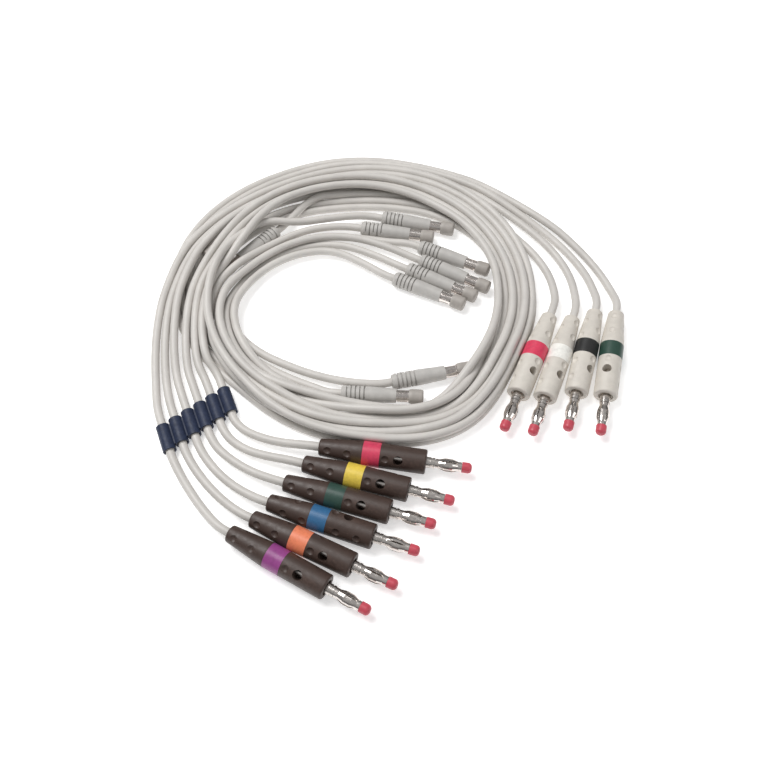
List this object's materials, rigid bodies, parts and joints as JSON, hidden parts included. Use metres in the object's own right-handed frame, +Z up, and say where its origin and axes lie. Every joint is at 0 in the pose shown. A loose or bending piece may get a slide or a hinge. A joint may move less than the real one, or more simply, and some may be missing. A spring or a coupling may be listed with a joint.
{
  "type": "patient lead wire set",
  "caption": "Coiled patient lead wire set for an electrocardiograph, with lantern plugs at one end and small recorder plugs at the other.",
  "frame": {"origin": "on the resting plane, under the middle of the box around the plugs and the comb", "axes": "+Z up, away from the resting plane; +X from the comb towards the limb plugs, the longest extent; -Y towards the chest plugs"},
  "size_m": [0.1842, 0.2005, 0.0089],
  "materials": {
    "chest_plug_plastic": "fine matt moulded",
    "comb_plastic": "satin moulded",
    "limb_plug_plastic": "fine matt moulded",
    "nose_plastic": "satin moulded",
    "plated_contact": "bright nickel plate",
    "plated_spring": "bright nickel plate",
    "recorder_plug_plastic": "fine matt moulded",
    "ring_black": "satin moulded",
    "ring_blue": "satin moulded",
    "ring_green": "satin moulded",
    "ring_orange": "satin moulded",
    "ring_purple": "satin moulded",
    "ring_red": "satin moulded",
    "ring_white": "satin moulded",
    "ring_yellow": "satin moulded",
    "tip_plastic": "satin moulded",
    "wire_jacket": "smooth satin extruded"
  },
  "bodies": {
    "root": {"chest_1_colour_ring": "ring_red", "chest_1_lead_wire": "wire_jacket", "chest_1_plug_body": "chest_plug_plastic", "chest_1_tail_wire": "wire_jacket", "chest_2_colour_ring": "ring_yellow", "chest_2_lead_wire": "wire_jacket", "chest_2_plug_body": "chest_plug_plastic", "chest_2_tail_wire": "wire_jacket", "chest_3_colour_ring": "ring_green", "chest_3_lead_wire": "wire_jacket", "chest_3_plug_body": "chest_plug_plastic", "chest_3_tail_wire": "wire_jacket", "chest_4_colour_ring": "ring_blue", "chest_4_lead_wire": "wire_jacket", "chest_4_plug_body": "chest_plug_plastic", "chest_4_tail_wire": "wire_jacket", "chest_5_colour_ring": "ring_orange", "chest_5_lead_wire": "wire_jacket", "chest_5_plug_body": "chest_plug_plastic", "chest_5_tail_wire": "wire_jacket", "chest_6_colour_ring": "ring_purple", "chest_6_lead_wire": "wire_jacket", "chest_6_plug_body": "chest_plug_plastic", "chest_6_tail_wire": "wire_jacket", "chest_recorder_plug_bodies": "recorder_plug_plastic", "coiled_wires": "wire_jacket", "contact_pins": "plated_contact", "limb_1_colour_ring": "ring_red", "limb_1_lead_wire": "wire_jacket", "limb_1_plug_body": "limb_plug_plastic", "limb_1_tail_wire": "wire_jacket", "limb_2_colour_ring": "ring_white", "limb_2_lead_wire": "wire_jacket", "limb_2_plug_body": "limb_plug_plastic", "limb_2_tail_wire": "wire_jacket", "limb_3_colour_ring": "ring_black", "limb_3_lead_wire": "wire_jacket", "limb_3_plug_body": "limb_plug_plastic", "limb_4_colour_ring": "ring_green", "limb_4_lead_wire": "wire_jacket", "limb_4_plug_body": "limb_plug_plastic", "limb_recorder_plug_bodies": "recorder_plug_plastic", "plug_tips": "tip_plastic", "recorder_contacts": "plated_contact", "recorder_noses": "nose_plastic"},
    "chest_1_cage": {"chest_1_spring_cage": "plated_spring"},
    "chest_2_cage": {"chest_2_spring_cage": "plated_spring"},
    "chest_3_cage": {"chest_3_spring_cage": "plated_spring"},
    "chest_4_cage": {"chest_4_spring_cage": "plated_spring"},
    "chest_5_cage": {"chest_5_spring_cage": "plated_spring"},
    "chest_6_cage": {"chest_6_spring_cage": "plated_spring"},
    "limb_1_cage": {"limb_1_spring_cage": "plated_spring"},
    "limb_2_cage": {"limb_2_spring_cage": "plated_spring"},
    "limb_3_cage": {"limb_3_spring_cage": "plated_spring"},
    "limb_4_cage": {"limb_4_spring_cage": "plated_spring"},
    "comb": {"wire_comb": "comb_plastic"}
  },
  "joints": [
    {"name": "chest_1_cage_turn", "type": "hinge", "parent": "root", "child": "chest_1_cage", "pos_m": [0.01654, -0.03258, 0.00445], "axis": [0.9877, -0.1564, 0], "continuous": true},
    {"name": "chest_2_cage_turn", "type": "hinge", "parent": "root", "child": "chest_2_cage", "pos_m": [0.01019, -0.04393, 0.00445], "axis": [0.965, -0.2622, 0], "continuous": true},
    {"name": "chest_3_cage_turn", "type": "hinge", "parent": "root", "child": "chest_3_cage", "pos_m": [0.00369, -0.05221, 0.00445], "axis": [0.9583, -0.2857, 0], "continuous": true},
    {"name": "chest_4_cage_turn", "type": "hinge", "parent": "root", "child": "chest_4_cage", "pos_m": [-0.0019, -0.06134, 0.00445], "axis": [0.9455, -0.3256, 0], "continuous": true},
    {"name": "chest_5_cage_turn", "type": "hinge", "parent": "root", "child": "chest_5_cage", "pos_m": [-0.00894, -0.07199, 0.00445], "axis": [0.9033, -0.4289, 0], "continuous": true},
    {"name": "chest_6_cage_turn", "type": "hinge", "parent": "root", "child": "chest_6_cage", "pos_m": [-0.01743, -0.07979, 0.00445], "axis": [0.8729, -0.4879, 0], "continuous": true},
    {"name": "limb_1_cage_turn", "type": "hinge", "parent": "root", "child": "limb_1_cage", "pos_m": [0.03977, -0.01142, 0.00445], "axis": [-0.3971, -0.9178, 0], "continuous": true},
    {"name": "limb_2_cage_turn", "type": "hinge", "parent": "root", "child": "limb_2_cage", "pos_m": [0.04955, -0.01312, 0.00445], "axis": [-0.3714, -0.9285, 0], "continuous": true},
    {"name": "limb_3_cage_turn", "type": "hinge", "parent": "root", "child": "limb_3_cage", "pos_m": [0.06182, -0.01115, 0.00445], "axis": [-0.3024, -0.9532, 0], "continuous": true},
    {"name": "limb_4_cage_turn", "type": "hinge", "parent": "root", "child": "limb_4_cage", "pos_m": [0.07285, -0.01268, 0.00445], "axis": [-0.2385, -0.9711, 0], "continuous": true},
    {"name": "comb_slide", "type": "slide", "parent": "root", "child": "comb", "axis": [-0.3746, 0.9272, 0], "range_m": [-0.002, 0.002]}
  ]
}
